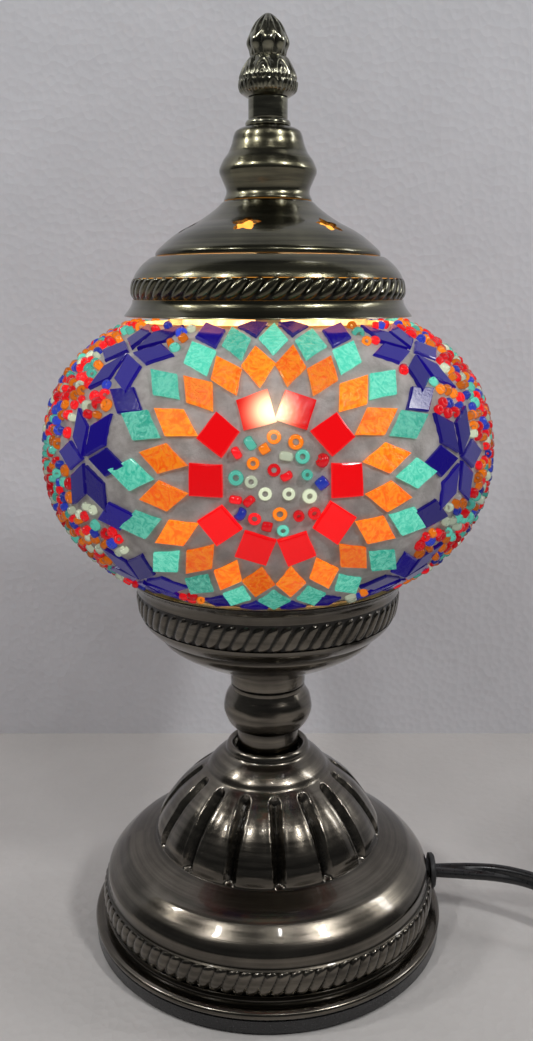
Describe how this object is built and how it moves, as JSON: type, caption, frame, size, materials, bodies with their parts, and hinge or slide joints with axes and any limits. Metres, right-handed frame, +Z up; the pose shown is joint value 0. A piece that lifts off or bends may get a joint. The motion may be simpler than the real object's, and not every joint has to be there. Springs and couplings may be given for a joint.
{
  "type": "mosaic glass table lamp",
  "caption": "Table lamp with a squashed mosaic glass globe held between a spun metal cup and a domed cap with finial, on a ball stem and a fluted round base with a flat cord.",
  "frame": {"origin": "middle of the underside of the base", "axes": "+Z up along the lamp's axis, front of the globe towards -Y, cord leaving at +X"},
  "size_m": [0.3044, 0.1586, 0.3372],
  "materials": {
    "antique_metal": "dark antiqued bronze plating, polished, with fine turning lines",
    "finial_metal": "lighter antiqued plating, polished",
    "black_metal": "satin black",
    "felt": "black felt",
    "iron": "rough cast",
    "zinc_steel": "zinc plated",
    "brass": "plain",
    "holder_plastic": "black phenolic",
    "ceramic": "unglazed ceramic",
    "seat_rubber": "soft black rubber",
    "clear_glass": "clear",
    "bulb_glass": "clear, warm white light",
    "filament": "glowing",
    "grout": "light grey cement grout",
    "red_glass": "translucent, rippled",
    "orange_glass": "translucent, streaky",
    "turquoise_glass": "translucent, water textured",
    "blue_glass": "deep cobalt, glossy",
    "rubber": "black",
    "cord_pvc": "black PVC",
    "switch_plastic": "black",
    "lead_pvc": "white PVC"
  },
  "bodies": {
    "root": {"felt_ring": "felt", "base_cover": "black_metal", "base_nut": "zinc_steel", "base_shell": "antique_metal", "base_shell_washer": "zinc_steel", "base_shell_nut": "zinc_steel", "ballast_ring": "iron", "ballast_screws": "zinc_steel", "threaded_tube": "zinc_steel", "stem_ball": "antique_metal", "lower_cup": "antique_metal", "cup_washer": "zinc_steel", "cup_nut": "zinc_steel", "globe_seat_ring": "seat_rubber", "holder_cap": "holder_plastic", "holder_skirt": "holder_plastic", "holder_insert": "ceramic", "holder_thread_shell": "brass", "holder_centre_contact": "brass", "terminal_screws": "brass", "terminal_wires": "lead_pvc", "globe_glass": "clear_glass", "grout_bed": "grout", "tiles_red": "red_glass", "tiles_orange": "orange_glass", "tiles_turquoise": "turquoise_glass", "tiles_blue": "blue_glass", "star_petals": "blue_glass", "seed_beads": "red_glass", "cord_grommet": "rubber", "inner_lead": "lead_pvc", "switch_lower": "switch_plastic", "switch_upper": "switch_plastic", "switch_pin": "zinc_steel", "switch_screws": "zinc_steel", "plug_body": "switch_plastic", "plug_pins": "zinc_steel", "cord_coil": "cord_pvc", "cord_tie": "switch_plastic", "cord_to_switch": "cord_pvc", "cord_to_coil": "cord_pvc", "cord_to_plug": "cord_pvc"},
    "cap": {"cap_shell": "antique_metal", "clip_hub": "zinc_steel", "clip_arms": "zinc_steel", "finial_rod": "zinc_steel", "rod_nuts": "zinc_steel"},
    "finial": {"finial_foot": "finial_metal", "finial_tube": "finial_metal", "finial_lower_bud": "finial_metal", "finial_upper_bud": "finial_metal"},
    "bulb": {"bulb_contact": "zinc_steel", "bulb_insulator": "holder_plastic", "bulb_screw_cap": "brass", "bulb_glass": "bulb_glass", "filament_stem": "clear_glass", "filament": "filament", "filament_posts": "zinc_steel"},
    "rocker": {"switch_rocker": "switch_plastic"}
  },
  "joints": [
    {"name": "cap_lift", "type": "slide", "parent": "root", "child": "cap", "axis": [0, 0, 1], "range_m": [0, 0.09]},
    {"name": "finial_turn", "type": "hinge", "parent": "cap", "child": "finial", "pos_m": [0, 0, 0.305], "axis": [0, 0, 1], "continuous": true},
    {"name": "bulb_turn", "type": "hinge", "parent": "root", "child": "bulb", "pos_m": [0, 0, 0.155], "axis": [0, 0, 1], "continuous": true},
    {"name": "switch_rock", "type": "hinge", "parent": "root", "child": "rocker", "pos_m": [0.15484, -0.04719, 0.012], "axis": [0.5736, 0.8192, 0], "range_deg": [0, 16]}
  ]
}
